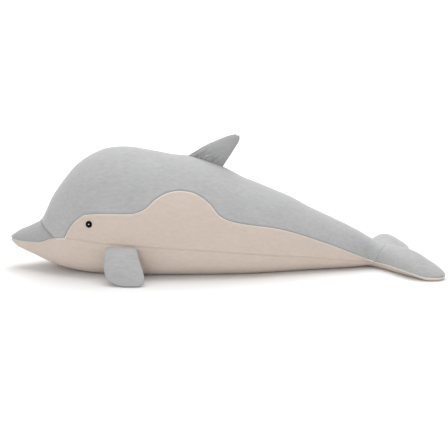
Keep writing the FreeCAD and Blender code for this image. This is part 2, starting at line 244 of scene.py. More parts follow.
def relax(mesh, rounds, share=None):
    """Evens out a surface without shrinking it much. share says how much of the change each vertex
    takes."""
    shrink, swell = 0.5, -0.53
    co, pairs = coords(mesh), edges(mesh)
    count = neighbour_count(co, pairs)
    share = 1 if share is None else share[:, None]
    for step in range(2 * rounds):
        strength = shrink if step % 2 == 0 else swell
        co += share * strength * (neighbour_middle(co, pairs, count) - co)
    set_coords(mesh, co)


def soft_noise(co, scale, seed, octaves=2):
    """Smooth noise from -1 to 1 at each point; scale is the size of its lumps in metres."""
    shift = Vector((seed * 7.31, seed * 3.17, seed * 5.77))
    return np.array([noise.fractal(Vector(p) / scale + shift, 1.0, 2.0, octaves) for p in co])


def shade_smooth(mesh):
    mesh.polygons.foreach_set("use_smooth", np.ones(len(mesh.polygons), bool))
    mesh.update()


def box_middle(node):
    low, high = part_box(node)
    return (low + high) / 2


def keep_above_floor(bm):
    for vert in bm.verts:
        vert.co.z = max(vert.co.z, 0)


# ---- starting shapes ----

def cad_copy(name, nodes, place, radius, half_width):
    """One object with copies of CAD nodes, plus a bar across the body that bridges the gap between
    two of them."""
    bm = bmesh.new()
    for node in nodes:
        bm.from_mesh(frame["nodes"][node].data)
    turn = Matrix.Rotation(math.pi / 2, 4, "X")
    bmesh.ops.create_cone(bm, cap_ends=True, segments=32, radius1=radius, radius2=radius,
                          depth=2 * half_width, matrix=Matrix.Translation(place) @ turn)
    bmesh.ops.remove_doubles(bm, verts=bm.verts, dist=0.001 * MM)
    mesh = bpy.data.meshes.new(name)
    bm.to_mesh(mesh)
    bm.free()
    return add_object(name, mesh)


def grow(mesh, distance):
    """Moves a skin outwards along its normals."""
    set_coords(mesh, coords(mesh) + normals(mesh) * distance)


def body_base():
    """The torso and the flukes as one even skin, a little slack so that its stuffing can fill it out."""
    voxel = 5 * MM
    skin = 1.5 * MM
    slack = 1.2 * MM
    neck_place = TAIL_HINGE + Vector((0, 0, 1 * MM))
    neck_radius, neck_half_width = 25 * MM, 22 * MM
    neck_middle_x = TAIL_HINGE.x + 4 * MM
    obj = cad_copy("body_skin", ["body_filling", "fluke_filling"], neck_place, neck_radius,
                   neck_half_width)
    apply_modifier(obj, "REMESH", mode="VOXEL", voxel_size=voxel)
    mesh = obj.data
    grow(mesh, skin)
    relax(mesh, 4)
    near_neck = 1 - smoothstep(22 * MM, 50 * MM, np.abs(coords(mesh)[:, 0] - neck_middle_x))
    relax(mesh, 25, near_neck)
    grow(mesh, -slack)
    return obj


def lens_ring(half_chord, half_thick, count):
    """A section of a two-sided fin: rounded, with a slight edge where its two panels meet."""
    fullness = 0.9
    angle = np.arange(count) * 2 * math.pi / count
    across, through = np.cos(angle), np.sin(angle)
    return half_chord * across, half_thick * np.sign(through) * np.abs(through) ** fullness


def blade_base(name, rows, placement, count=44, step=2.6 * MM):
    """A closed padded blade that follows the rows of a fin. Its rings crowd together at the tip."""
    table = np.array(rows, float)
    ups = table[:, 0] * MM
    lines = [spline(np.stack([table[:, 0], table[:, k]], 1)) for k in range(1, 5)]
    span = ups[-1] - ups[0]
    levels = ups[0] + span * np.sin(np.linspace(0, math.pi / 2, int(1.45 * span / step))) ** 0.9
    verts = []
    for up in levels:
        middle, chord, thick, shift = [float(line(up)) for line in lines]
        x, y = lens_ring(max(chord, 0.3 * MM), max(thick, 0.2 * MM), count)
        verts += [placement @ Vector((middle + a, b + shift, up)) for a, b in zip(x, y)]
    last = (len(levels) - 1) * count
    faces = []
    for ring in range(0, last, count):
        for i in range(count):
            after = (i + 1) % count
            faces.append([ring + i, ring + after, ring + count + after, ring + count + i])
    faces += [list(range(count))[::-1], [last + i for i in range(count)]]
    mesh = bpy.data.meshes.new(name)
    mesh.from_pydata(verts, [], faces)
    if placement.determinant() < 0:
        mesh.flip_normals()
    mesh.update()
    return add_object(name, mesh)


# ---- stuffing by cloth simulation ----

def set_cloth(obj, pressure, hold):
    """Gives a piece the behaviour of a sewn skin under its stuffing's pressure. hold pins it, from 0 to 1."""
    group = obj.vertex_groups.new(name="hold")
    for index, weight in enumerate(hold):
        if weight > 0.01:
            group.add([index], float(weight), "REPLACE")
    cloth = obj.modifiers.new("Cloth", "CLOTH")
    settings = cloth.settings
    settings.quality = 5
    settings.mass = 0.3
    settings.tension_stiffness = 12
    settings.compression_stiffness = 12
    settings.shear_stiffness = 6
    settings.bending_stiffness = 0.4
    settings.use_pressure = True
    settings.uniform_pressure_force = pressure
    settings.effector_weights.gravity = 0
    settings.vertex_group_mass = "hold"
    cloth.collision_settings.use_collision = False
    cloth.point_cache.frame_start = 1
    cloth.point_cache.frame_end = SIM_FRAMES


def stuff(jobs):
    """Runs every cloth together. Each job is (object, pressure, hold, most that a point may move)."""
    scene = bpy.context.scene
    for obj, pressure, hold, _ in jobs:
        set_cloth(obj, pressure, hold)
    for number in range(1, SIM_FRAMES + 1):
        scene.frame_set(number)
    results = []
    for obj, _, _, cap in jobs:
        shaped = evaluated_mesh(obj)
        move = coords(shaped) - coords(obj.data)
        bpy.data.meshes.remove(shaped)
        length = np.linalg.norm(move, axis=1)[:, None]
        move *= cap * np.tanh(length / cap) / np.maximum(length, 1e-9)
        results.append(move)
        print("stuffed", obj.name, "moved at most", round(float(length.max()) * 1000, 1), "mm")
    for (obj, *_), move in zip(jobs, results):
        obj.modifiers.clear()
        obj.vertex_groups.clear()
        set_coords(obj.data, coords(obj.data) + move)
    scene.frame_set(1)


# ---- cutting a skin into panels along its seams ----

def cut_along(bm, field, tolerance=0.12 * MM):
    """Adds edges where field(points) is zero."""
    bm.verts.ensure_lookup_table()
    points = np.array([v.co for v in bm.verts])
    value = dict(zip(bm.verts, field(points)))
    for vert in value:
        if abs(value[vert]) < tolerance:
            value[vert] = 0.0
    for edge in list(bm.edges):
        start, end = edge.verts
        at_start, at_end = value[start], value[end]
        if at_start * at_end < 0:
            new_vert = bmesh.utils.edge_split(edge, start, at_start / (at_start - at_end))[1]
            value[new_vert] = 0.0
    for face in list(bm.faces):
        on_line = [v for v in face.verts if value[v] == 0.0]
        corners = [value[v] for v in face.verts]
        if len(on_line) < 2 or min(corners) >= 0 or max(corners) <= 0:
            continue
        first, second = on_line[0], on_line[-1]
        if not any({first, second} == set(e.verts) for e in face.edges):
            bmesh.utils.face_split(face, first, second)


def refine_near(bm, distance_to, limit):
    """Halves the faces that lie close to a seam."""
    points = np.array([v.co for v in bm.verts])
    near = dict(zip(bm.verts, distance_to(points) < limit))
    picked = [e for e in bm.edges if near[e.verts[0]] and near[e.verts[1]]]
    bmesh.ops.subdivide_edges(bm, edges=picked, cuts=1, use_grid_fill=True, smooth=0)


def borders(bm, label, differ):
    """The edges whose two faces have labels that differ."""
    return [e for e in bm.edges if len(e.link_faces) == 2
            and differ(label[e.link_faces[0]], label[e.link_faces[1]])]


def press_seams(bm, label, depth_of, width, lip, seed):
    """Pulls the skin in along the edges between panels, with the small puckers of a sewn seam, and
    raises it a little on both sides."""
    seam_edges = borders(bm, label, lambda a, b: a != b)
    tree = KDTree(2 * len(seam_edges))
    depths = []
    for edge in seam_edges:
        depth = depth_of(label[edge.link_faces[0]], label[edge.link_faces[1]])
        for point in (edge.verts[0].co, (edge.verts[0].co + edge.verts[1].co) / 2):
            tree.insert(point, len(depths))
            depths.append(depth)
    tree.balance()
    bm.normal_update()
    moves = {}
    for vert in bm.verts:
        spot, index, distance = tree.find(vert.co)
        if distance > 2.6 * width:
            continue
        coarse = noise.noise(spot * 140 + Vector((seed, 0, 0)))
        fine = noise.noise(spot * 420)
        pucker = 1 + 0.28 * coarse + 0.15 * fine
        t = distance / width
        groove = math.exp(-(1.6 * t) ** 1.5) * pucker
        rise = lip * math.exp(-((t - 1.3) / 0.5) ** 2)
        moves[vert] = vert.normal * depths[index] * (rise - groove)
    for vert, move in moves.items():
        vert.co += move


def mark_painted_seam_lines(bm, label, differ):
    """Stores how close each point is to a seam between two colours, from 0 to 1: the mask of the materials'
    painted seam shade and highlight.
    """
    reach = 1.7 * MM
    layer = bm.verts.layers.float.new("edge")
    spots = {v for e in borders(bm, label, differ) for v in e.verts}
    tree = KDTree(len(spots))
    for index, vert in enumerate(spots):
        tree.insert(vert.co, index)
    tree.balance()
    for vert in bm.verts:
        distance = tree.find(vert.co)[2]
        vert[layer] = math.exp(-(distance / reach) ** 2)


def panels_from(bm, label, names, flange=4 * MM):
    """One object per label, with its edges turned in as a seam allowance."""
    pieces = {}
    marks = bm.verts.layers.float.get("edge")
    for name in names:
        part = bmesh.new()
        layer = part.verts.layers.float.new("edge")
        twin = {}
        for face in bm.faces:
            if label[face] != name:
                continue
            corners = []
            for vert in face.verts:
                if vert not in twin:
                    twin[vert] = part.verts.new(vert.co)
                    if marks:
                        twin[vert][layer] = vert[marks]
                    twin[vert].normal = vert.normal
                corners.append(twin[vert])
            part.faces.new(corners).smooth = True
        inward = {v: v.normal.copy() for v in part.verts}
        for depth in (0.25 * flange, 0.75 * flange):
            rim = [e for e in part.edges if e.is_boundary]
            made = bmesh.ops.extrude_edge_only(part, edges=rim)["geom"]
            fresh = [g for g in made if isinstance(g, bmesh.types.BMVert)]
            for vert in fresh:
                source = next(e.other_vert(vert) for e in vert.link_edges if e.other_vert(vert) in inward)
                inward[vert] = inward[source]
            for vert in fresh:
                vert.co -= inward[vert] * depth
            for face in {f for v in fresh for f in v.link_faces}:
                face.smooth = True
        bmesh.ops.recalc_face_normals(part, faces=part.faces)
        mesh = bpy.data.meshes.new(name)
        part.to_mesh(mesh)
        part.free()
        pieces[name] = add_object(name, mesh)
    return pieces


# ---- the dolphin's body ----

def ring_field(p):
    """Negative ahead of the seam between the torso and the flukes, positive behind it."""
    straight_part = 25 * MM
    lean = RING_LEAN * (RING_TOP[1] - p[:, 2])
    wide = 0.5 * np.maximum(np.abs(p[:, 1]) - straight_part, 0)
    return p[:, 0] - RING_TOP[0] + lean + wide


def lower_field(p):
    """Positive below the long seam along each side, and below the flukes' edge seam behind the ring."""
    torso = side_z(p[:, 0]) - p[:, 2]
    tail = fluke_z(p[:, 0]) - p[:, 2] - 4 * MM * smoothstep(30 * MM, 75 * MM, p[:, 1])
    return np.where(ring_field(p) < 0, torso, tail)


def wave_field(p):
    """Positive below the wave seam."""
    return wave_z(p[:, 0]) - p[:, 2]


def beak_field(p):
    """Positive ahead of the seam between the beak and the forehead."""
    return np.where(p[:, 2] < BEAK_TOP, beak_x(p[:, 2]) - p[:, 0], -1)


def middle_field(p):
    """Positive on the right side."""
    return p[:, 1]


BODY_SEAMS = (ring_field, lower_field, wave_field, beak_field, middle_field)


def body_label(p):
    """The name of the panel that a point of the body belongs to."""
    side = "left" if p[1] < 0 else "right"
    q = np.array([p])
    below = float(lower_field(q)[0]) > 0
    if ring_field(q)[0] > 0:
        return "fluke_underside" if below else "fluke_top_" + side
    if below:
        return "belly"
    if wave_z(p[0]) > p[2]:
        return "flank_" + side
    return ("beak_" if p[0] < beak_x(p[2]) and p[2] < BEAK_TOP else "back_") + side


def seam_distance(p):
    """Roughly how far a point is from the nearest seam of the body."""
    x, y, z = p.T
    ahead = ring_field(p) < 0
    far = np.full(len(p), 1.0)
    wave = np.where(ahead & (x > -290 * MM), np.abs(wave_z(x) - z) * 0.7, far)
    side = np.abs(lower_field(p)) * 0.85
    back = np.where(z > np.where(ahead, 60 * MM, 20 * MM), np.abs(y), far)
    beak = np.where((z > 60 * MM) & (z < 115 * MM), np.abs(x - beak_x(z)), far)
    ring = np.abs(ring_field(p))
    return np.min([wave, side, back, beak, ring], axis=0)


def is_cream(name):
    return name in ("belly", "fluke_underside") or name.startswith("flank")


def body_seam_depth(a, b):
    """How deep the seam between two panels is: deepest round the beak, faint where one colour meets
    itself."""
    kinds = {a.split("_")[0], b.split("_")[0]}
    if "beak" in kinds and "back" in kinds:
        return 2.6 * MM
    if "beak" in kinds and "belly" in kinds:
        return 2.2 * MM
    if kinds == {"back"} or kinds == {"fluke"} and "underside" not in a + b:
        return 0.9 * MM
    if kinds == {"back", "flank"}:
        return 1.5 * MM
    return 1.2 * MM


def seat_eyes(mesh):
    """A shallow dimple under each eye, where the washer behind it pulls the fabric in."""
    seat_gap = 3.0 * MM
    flat_radius = 5.5 * MM
    reach = 20 * MM
    sink = 0.5 * MM
    co = coords(mesh)
    for side_name, side in SIDES:
        washer = np.array(box_middle("eye_washer_" + side_name))
        outward = np.array(box_middle("eye_" + side_name)) - washer
        outward[1] = side * abs(outward[1])
        outward /= np.linalg.norm(outward)
        seat = washer + outward * seat_gap
        away = co - seat
        height = away @ outward
        radius = np.linalg.norm(away - height[:, None] * outward, axis=1)
        share = 1 - smoothstep(flat_radius, reach, radius)
        share[np.abs(height) > reach] = 0
        co -= (share * (height + sink))[:, None] * outward
    set_coords(mesh, co)


def shape_beak(mesh):
    """Draws the beak out to its tip."""
    reach = 4.5 * MM
    co = coords(mesh)
    co[:, 0] -= reach * smoothstep(-350 * MM, -396 * MM, co[:, 0])
    set_coords(mesh, co)


def fit_back(mesh):
    """Stretches the upper half of the body up or down until the line of its back is right. The
    present line is measured at stations along the body, and evened out behind the forehead."""
    step = 6 * MM
    half_width = 9 * MM
    forehead = -320 * MM
    co = coords(mesh)
    x, y, z = co.T
    stations = np.arange(-396 * MM, 306 * MM, step)
    middle = np.abs(y) < half_width
    tops = [np.sort(z[middle & (np.abs(x - at) < 0.6 * step)])[-4:].mean() for at in stations]
    weights = np.hanning(9)[1:-1] / 4
    evened = np.convolve(np.pad(tops, 3, mode="reflect", reflect_type="odd"), weights, "valid")
    current = np.interp(x, stations, np.where(stations < forehead, tops, evened))
    widest = np.interp(x, *(np.array(WIDEST_LINE).T * MM))
    ratio = np.clip((top_z(x) - widest) / (current - widest), 0.7, 1.3)
    above = smoothstep(0, 0.25, (z - widest) / (current - widest))
    share = above * (1 - smoothstep(285 * MM, 315 * MM, x))
    co[:, 2] += share * (z - widest) * (ratio - 1)
    set_coords(mesh, co)


def shape_flukes(mesh):
    """Softens the fold where the torso runs into the flukes, thins the lobes towards their tips, and lets
    the far lobe lie a little further forward and higher than the near one."""
    fold_x, fold_width, rounds = 284 * MM, 15 * MM, 60
    thinning = 0.24
    far_lift, far_advance = 5 * MM, 15 * MM
    co, pairs = coords(mesh), edges(mesh)
    count = neighbour_count(co, pairs)
    fold = np.exp(-((co[:, 0] - fold_x) / fold_width) ** 2)[:, None]
    for _ in range(rounds):
        co += 0.5 * fold * (neighbour_middle(co, pairs, count) - co)
    x, y, z = co.T
    co[:, 2] = z * (1 - thinning * smoothstep(335 * MM, 395 * MM, x))
    far = smoothstep(18 * MM, 75 * MM, y) * smoothstep(262 * MM, 292 * MM, x)
    co[:, 2] += far_lift * far * smoothstep(2 * MM, 20 * MM, co[:, 2])
    co[:, 0] -= far_advance * far
    set_coords(mesh, co)


def settle(mesh):
    """Flattens the skin where it lies on the floor, and gives the rest the faint lumps of stuffing."""
    touch, level, sag = 2.4 * MM, 1.2 * MM, 0.9 * MM
    co = coords(mesh)
    co[:, 2] = np.where(co[:, 2] < touch, level + (co[:, 2] - level) * 0.25, co[:, 2])
    co[:, 2] = np.maximum(co[:, 2] - sag * (1 - smoothstep(0, 40 * MM, co[:, 2])), 0)
    lumps = soft_noise(co, 70 * MM, 1, 2) * 0.9 * MM
    drag_lines = soft_noise(co * [0.35, 1, 1], 16 * MM, 4, 2) * 0.25 * MM
    off_floor = smoothstep(0.5 * MM, 12 * MM, co[:, 2])
    set_coords(mesh, co + normals(mesh) * ((lumps + drag_lines) * off_floor)[:, None])


def finish_body(obj):
    """Floor contact, eye dimples and seams; then one object per panel."""
    apply_modifier(obj, "SUBSURF", levels=1, render_levels=1)
    settle(obj.data)
    seat_eyes(obj.data)
    bm = bmesh.new()
    bm.from_mesh(obj.data)
    refine_near(bm, seam_distance, 5 * MM)
    for field in BODY_SEAMS:
        cut_along(bm, field)
    bm.faces.ensure_lookup_table()
    label = {face: body_label(face.calc_center_median()) for face in bm.faces}
    # Mask for the painted shade and painted highlight lines along the seams between cream and grey.
    mark_painted_seam_lines(bm, label, lambda a, b: is_cream(a) != is_cream(b))
    press_seams(bm, label, body_seam_depth, 2.8 * MM, 0.3, 1)
    keep_above_floor(bm)
    pieces = panels_from(bm, label, BODY_PANELS)
    bm.free()
    discard(obj)
    return pieces


# ---- fins ----

def dorsal_place():
    """The fin's own frame: X along its root towards the tail, Z up the fin, origin on the root line."""
    root_below_hinge = 4 * MM
    along = Vector(JOINTS["dorsal_fin_bend"]["axis"])
    up = Vector((0, 1, 0)).cross(along) * -1
    place = Matrix((along, Vector((0, 1, 0)), up)).transposed().to_4x4()
    return Matrix.Translation(DORSAL_HINGE - up * root_below_hinge) @ place


def flipper_place(side_name, side):
    """A flipper's own frame: X along its root towards the tail, Z down the flipper, Y towards the
    body. The left one is a mirror image of the right one."""
    joint = JOINTS["flipper_" + side_name + "_lift"]
    along = Vector(joint["axis"]) * side
    splay = math.radians(28)
    sideways = Vector((0, 0, 1)).cross(along) * side
    down = Vector((0, 0, -math.cos(splay))) + sideways * math.sin(splay)
    inward = (along.cross(down) * -side).normalized()
    if inward.y * side > 0:
        inward = -inward
    place = Matrix((along, inward, down)).transposed().to_4x4()
    return Matrix.Translation(Vector(joint["pos_m"])) @ place


def gather(mesh, place):
    """The creases of the dorsal fin's gathered root: they start at the seam and fan up and back."""
    spacing, depth = 9.5 * MM, 4.2 * MM
    root_middle, root_half = 3 * MM, 33 * MM
    local = place.inverted()
    co = coords(mesh)
    rest = np.array([local @ Vector(p) for p in co])
    along, up = rest[:, 0], rest[:, 2]
    wobble = 2.2 * MM * soft_noise(rest, 14 * MM, 9, 1)
    phase = (along - 0.75 * up + wobble) / spacing
    crease = 0.35 - np.exp(-((phase - np.round(phase)) / 0.22) ** 2)
    height = smoothstep(-6 * MM, 0, up) * (1 - smoothstep(6 * MM, 25 * MM, up))
    front = 1 - 0.65 * smoothstep(-4 * MM, 28 * MM, along)
    edge = 1 - smoothstep(0.75, 1.0, np.abs(along - root_middle) / root_half)
    set_coords(mesh, co + normals(mesh) * (depth * crease * height * front * edge)[:, None])


def finish_fin(obj, place, rows, names, seam_depth, creased):
    """Splits a fin into the panel at local -Y and the one at +Y, with a seam round its edge. creased
    gives it a gathered root."""
    apply_modifier(obj, "SUBSURF", levels=1, render_levels=1)
    mesh = obj.data
    if creased:
        gather(mesh, place)
    co = coords(mesh)
    lumps = soft_noise(co, 22 * MM, 6, 2) * 0.5 * MM
    set_coords(mesh, co + normals(mesh) * lumps[:, None])
    local = np.array(place.inverted())
    shift = spline([(row[0], row[4]) for row in rows])

    def middle(p):
        return p @ local[1, :3] + local[1, 3] - shift(p @ local[2, :3] + local[2, 3])

    bm = bmesh.new()
    bm.from_mesh(mesh)
    refine_near(bm, lambda p: np.abs(middle(p)), 3.5 * MM)
    cut_along(bm, middle)
    label = {}
    for face in bm.faces:
        centre = np.array([face.calc_center_median()])
        label[face] = names[int(middle(centre)[0] > 0)]
    press_seams(bm, label, lambda a, b: seam_depth, 2.4 * MM, 0.35, 3)
    keep_above_floor(bm)
    pieces = panels_from(bm, label, names, 2 * MM)
    bm.free()
    discard(obj)
    return pieces


# ---- fillings ----

def stuffing(name, skin, gap, voxel, seed):
    """Lumpy fibre that fills a skin. It is a closed copy of the skin, a little smaller."""
    obj = add_object(name, skin.data.copy())
    apply_modifier(obj, "REMESH", mode="VOXEL", voxel_size=voxel)
    mesh = obj.data
    co = coords(mesh)
    lumps = soft_noise(co, 18 * MM, seed, 2) * 0.6 * MM
    set_coords(mesh, co - normals(mesh) * (gap - lumps)[:, None])
    shade_smooth(mesh)
    return obj


def halve(obj, name, keep_ahead):
    """Keeps the part of a closed filling ahead of or behind the tail's hinge, and closes it."""
    piece = add_object(name, obj.data.copy())
    bm = bmesh.new()
    bm.from_mesh(piece.data)
    whole = bm.verts[:] + bm.edges[:] + bm.faces[:]
    cut = bmesh.ops.bisect_plane(bm, geom=whole, plane_co=TAIL_HINGE, plane_no=(1, 0, 0),
                                 clear_outer=keep_ahead, clear_inner=not keep_ahead)
    rim = [g for g in cut["geom_cut"] if isinstance(g, bmesh.types.BMEdge)]
    bmesh.ops.holes_fill(bm, edges=rim)
    bmesh.ops.recalc_face_normals(bm, faces=bm.faces)
    bm.to_mesh(piece.data)
    bm.free()
    return piece


# ---- materials ----

# Sockets of the colour mix node that share their names: the two colours and the result.
MIX_A = 6
MIX_B = 7
MIX_RESULT = 2


def node_material(name):
    material = bpy.data.materials.new(name)
    material.use_nodes = True
    tree = material.node_tree
    return material, tree, tree.nodes["Principled BSDF"]


def add_node(tree, kind, **settings):
    """A node with input values and properties set by name."""
    made = tree.nodes.new(kind)
    for key, value in settings.items():
        if key in made.inputs:
            made.inputs[key].default_value = value
        else:
            setattr(made, key, value)
    return made


def noise_node(tree, place, scale, detail=2.0, stretch=None):
    made = add_node(tree, "ShaderNodeTexNoise", Scale=scale, Detail=detail)
    if stretch:
        mapping = add_node(tree, "ShaderNodeMapping", Scale=stretch)
        tree.links.new(place, mapping.inputs["Vector"])
        place = mapping.outputs["Vector"]
    tree.links.new(place, made.inputs["Vector"])
    return made.outputs["Fac"]


def plush(name, colour, shade, sheen, seam_shade_highlight_colour):
    """Short-pile stretch plush: two close tones, a fine pile and a faint nap along the body. Along a seam
    between two colours the last colour is mixed in as a painted line: painted shade on the grey panels, a
    painted highlight on the cream ones."""
    cloud_scale, nap_scale, pile_scale = 22, 260, 1500
    cloud_weight, nap_weight = 0.3, 0.8
    along_body = (0.35, 1, 1)
    material, tree, shader = node_material(name)
    place = add_node(tree, "ShaderNodeTexCoord").outputs["Object"]
    cloudy = noise_node(tree, place, cloud_scale, 3)
    nap = noise_node(tree, place, nap_scale, 3, along_body)
    pile = noise_node(tree, place, pile_scale, 2)
    tone = add_node(tree, "ShaderNodeMix", data_type="RGBA")
    tone.inputs[MIX_A].default_value = (*[c * shade for c in colour], 1)
    tone.inputs[MIX_B].default_value = (*colour, 1)
    blend = add_node(tree, "ShaderNodeMath", operation="MULTIPLY_ADD")
    blend.inputs[1].default_value = nap_weight
    tree.links.new(nap, blend.inputs[0])
    part = add_node(tree, "ShaderNodeMath", operation="MULTIPLY")
    part.inputs[1].default_value = cloud_weight
    tree.links.new(cloudy, part.inputs[0])
    tree.links.new(part.outputs[0], blend.inputs[2])
    tree.links.new(blend.outputs[0], tone.inputs[0])
    # Painted seam line: the edge attribute mixes in a darker painted shade on grey and a lighter painted
    # highlight on cream.
    edge = add_node(tree, "ShaderNodeAttribute", attribute_name="edge")
    seam_paint = add_node(tree, "ShaderNodeMix", data_type="RGBA")
    seam_paint.inputs[MIX_B].default_value = (*seam_shade_highlight_colour, 1)
    tree.links.new(edge.outputs["Fac"], seam_paint.inputs[0])
    tree.links.new(tone.outputs[MIX_RESULT], seam_paint.inputs[MIX_A])
    tree.links.new(seam_paint.outputs[MIX_RESULT], shader.inputs["Base Color"])
    height = add_node(tree, "ShaderNodeMath", operation="MULTIPLY_ADD")
    height.inputs[1].default_value = 0.5
    tree.links.new(nap, height.inputs[0])
    tree.links.new(pile, height.inputs[2])
    bump = add_node(tree, "ShaderNodeBump", Strength=0.32, Distance=0.0006)
    tree.links.new(height.outputs[0], bump.inputs["Height"])
    tree.links.new(bump.outputs[0], shader.inputs["Normal"])
    shader.inputs["Roughness"].default_value = 0.95
    shader.inputs["Specular IOR Level"].default_value = 0.15
    shader.inputs["Sheen Weight"].default_value = sheen
    shader.inputs["Sheen Roughness"].default_value = 0.45
    return material


def fibre(name):
    """White loose polyester fibre."""
    material, tree, shader = node_material(name)
    place = add_node(tree, "ShaderNodeTexCoord").outputs["Object"]
    strands = noise_node(tree, place, 300, 6, (1, 0.4, 1))
    ramp = add_node(tree, "ShaderNodeValToRGB")
    ramp.color_ramp.elements[0].color = (0.62, 0.62, 0.6, 1)
    ramp.color_ramp.elements[1].color = (0.9, 0.9, 0.89, 1)
    tree.links.new(strands, ramp.inputs[0])
    tree.links.new(ramp.outputs[0], shader.inputs["Base Color"])
    bump = add_node(tree, "ShaderNodeBump", Strength=0.8, Distance=0.002)
    tree.links.new(strands, bump.inputs["Height"])
    tree.links.new(bump.outputs[0], shader.inputs["Normal"])
    shader.inputs["Roughness"].default_value = 1
    return material


def plastic(name, colour, roughness, level):
    """Moulded plastic with the faint unevenness of its mould. A white painted glint, standing in for a lamp's
    reflection, is mixed in where the vertices of a piece say so. level is the strength of its shine."""
    wear_scale, spread = 900, 0.2
    material, tree, shader = node_material(name)
    place = add_node(tree, "ShaderNodeTexCoord").outputs["Object"]
    wear = noise_node(tree, place, wear_scale, 2)
    rough = add_node(tree, "ShaderNodeMapRange")
    rough.inputs["To Min"].default_value = roughness * (1 - spread)
    rough.inputs["To Max"].default_value = roughness * (1 + spread)
    tree.links.new(wear, rough.inputs["Value"])
    tree.links.new(rough.outputs[0], shader.inputs["Roughness"])
    # Painted highlight: white mixed into the colour where the dot attribute marks the glint.
    dot = add_node(tree, "ShaderNodeMix", data_type="RGBA")
    dot.inputs[MIX_A].default_value = (*colour, 1)
    dot.inputs[MIX_B].default_value = (0.9, 0.9, 0.9, 1)
    glint_mask = add_node(tree, "ShaderNodeAttribute", attribute_name="dot")
    tree.links.new(glint_mask.outputs["Fac"], dot.inputs[0])
    tree.links.new(dot.outputs[MIX_RESULT], shader.inputs["Base Color"])
    shader.inputs["Specular IOR Level"].default_value = level
    return material


# The last colour of each plush is its painted seam line: painted shade on the greys, a painted highlight on
# the cream.
GREY = plush("grey_plush", (0.514, 0.516, 0.516), 0.66, 0.35, (0.32, 0.32, 0.32))
DARK_GREY = plush("dark_grey_plush", (0.458, 0.46, 0.46), 0.66, 0.3, (0.33, 0.33, 0.33))
CREAM = plush("cream_plush", (0.676, 0.575, 0.502), 0.8, 0.3, (0.86, 0.82, 0.78))
FIBRE = fibre("fibre_filling")
BLACK = plastic("black_eye", (0.002, 0.002, 0.002), 0.2, 0.04)
WHITE = plastic("white_washer", (0.75, 0.75, 0.73), 0.4, 0.5)


def dress(obj, material):
    """The material, in the piece's one slot."""
    obj.data.materials.clear()
    obj.data.materials.append(material)


# ---- eyes ----

def eye_outline():
    """Half the section of an eye, as (radius, height) from the end of the shank to the dome's top."""
    rib_step, rib_depth = 1.4 * MM, 0.82
    outline = [(0, -SHANK_LENGTH), (SHANK_RADIUS * 0.8, -SHANK_LENGTH)]
    for rib in range(SHANK_RIBS):
        z = -SHANK_LENGTH + (rib + 1) * rib_step
        outline += [(SHANK_RADIUS, z), (SHANK_RADIUS * rib_depth, z + rib_step / 2)]
    outline += [(SHANK_RADIUS, -0.3 * MM), (EYE_RADIUS * 0.97, -0.05 * MM), (EYE_RADIUS, 0.25 * MM)]
    bulge = (EYE_RADIUS ** 2 + EYE_RISE ** 2) / (2 * EYE_RISE)
    top, rings = math.asin(EYE_RADIUS / bulge), 22
    for step in range(1, rings + 1):
        angle = top * (1 - step / rings)
        height = EYE_RISE - bulge * (1 - math.cos(angle)) + 0.1 * MM * step / rings
        outline.append((bulge * math.sin(angle), height))
    return outline


def turn_outline(bm, outline):
    """A closed solid of revolution about Z."""
    chain = [bm.verts.new((radius, 0, height)) for radius, height in outline]
    lines = [bm.edges.new(pair) for pair in zip(chain, chain[1:])]
    bmesh.ops.spin(bm, geom=chain + lines, axis=(0, 0, 1), cent=(0, 0, 0), angle=2 * math.pi,
                   steps=48, use_merge=True, use_duplicate=False)
    bmesh.ops.remove_doubles(bm, verts=bm.verts, dist=0.01 * MM)
    bmesh.ops.recalc_face_normals(bm, faces=bm.faces)
    for face in bm.faces:
        face.smooth = True


def paint_glint_dot(bm, spot):
    """Marks a small round painted highlight, a glint in place of a lamp's reflection, for the eye's material.
    """
    dot = bm.verts.layers.float.new("dot")
    for vert in bm.verts:
        vert[dot] = 1 - float(smoothstep(0.6 * MM, 1.05 * MM, (vert.co - spot).length))


def make_eye(side_name, side):
    """A turned eye: a polished dome with a small rounded rim, on a ribbed shank."""
    name = "eye_dome_" + side_name
    outward = Vector((-math.sin(EYE_TURN) * math.cos(EYE_TILT),
                      side * math.cos(EYE_TURN) * math.cos(EYE_TILT), math.sin(EYE_TILT)))
    base = box_middle("eye_washer_" + side_name) + outward * RIM_GAP
    facing = outward.to_track_quat("Z", "Y").to_matrix().to_4x4()
    bm = bmesh.new()
    turn_outline(bm, eye_outline())
    bmesh.ops.transform(bm, verts=bm.verts, matrix=Matrix.Translation(base) @ facing)
    # A painted glint near the dome's top, standing in for a reflection of the lamp.
    paint_glint_dot(bm, base + outward * EYE_RISE + Vector((1.3 * MM, 0, 0.4 * MM)))
    mesh = bpy.data.meshes.new(name)
    bm.to_mesh(mesh)
    bm.free()
    eye = add_object(name, mesh)
    dress(eye, BLACK)
    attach(eye, "torso")
    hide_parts("eye_" + side_name)


# ---- putting it together ----

